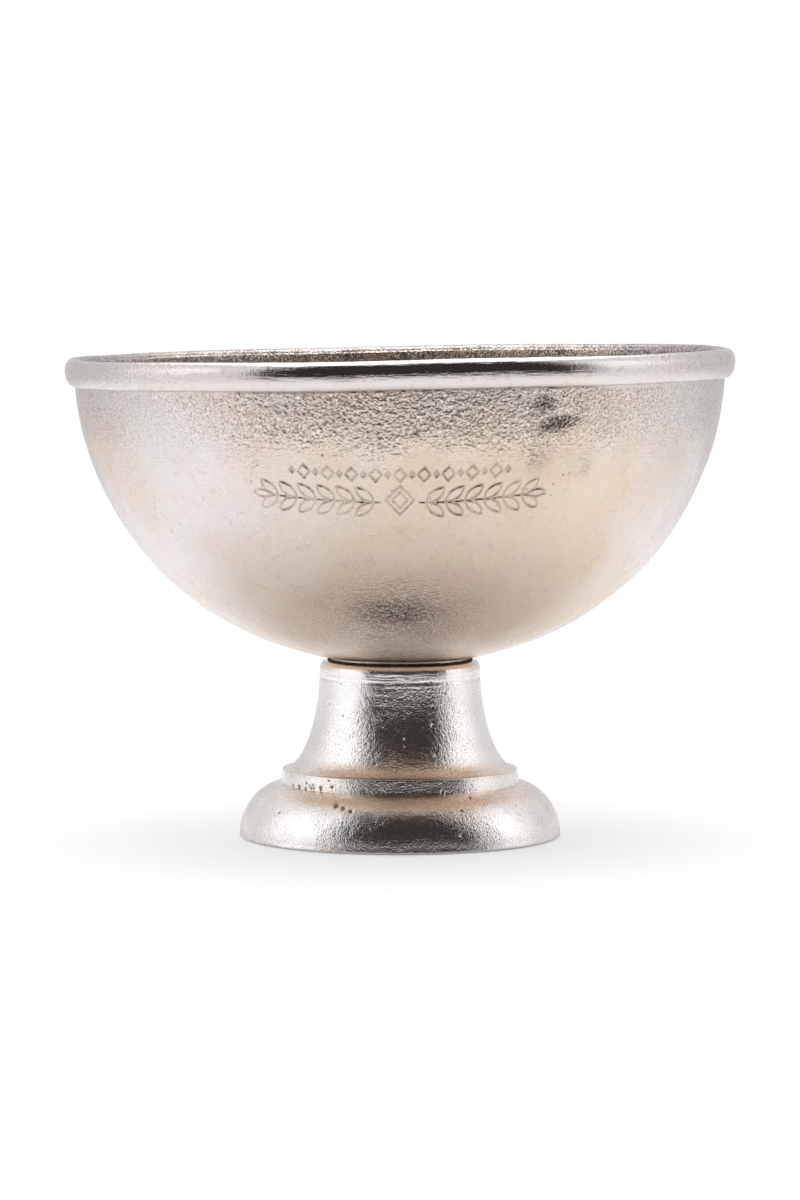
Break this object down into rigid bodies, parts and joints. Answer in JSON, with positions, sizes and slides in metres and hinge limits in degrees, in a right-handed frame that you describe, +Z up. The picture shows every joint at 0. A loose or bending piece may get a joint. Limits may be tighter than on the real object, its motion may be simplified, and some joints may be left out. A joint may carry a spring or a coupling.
{
  "type": "footed champagne bowl",
  "caption": "Wide footed metal bowl with a rolled rim, bolted down on a hollow cast foot, for holding ice and champagne bottles.",
  "frame": {"origin": "centre of the plane that the felt pads stand on, under the middle of the foot", "axes": "+Z up along the axis of the bowl and the foot; the object looks the same all round, and -Y is the side that faces the viewer"},
  "size_m": [0.3999, 0.4, 0.294],
  "materials": {
    "bowl_metal": "cast, hand polished and warm nickel toned, softly pitted",
    "foot_metal": "cast and polished bright, with small casting pits",
    "black_rubber": "matt",
    "plated_steel": "zinc plated",
    "spring_steel": "dark spring steel",
    "felt": "pressed wool felt"
  },
  "bodies": {
    "root": {"bowl": "bowl_metal", "foot": "foot_metal", "seat_gasket": "black_rubber", "centre_stud": "plated_steel", "clamp_washer": "plated_steel", "lock_washer": "spring_steel", "clamp_nut": "plated_steel", "felt_pads": "felt"}
  },
  "joints": []
}
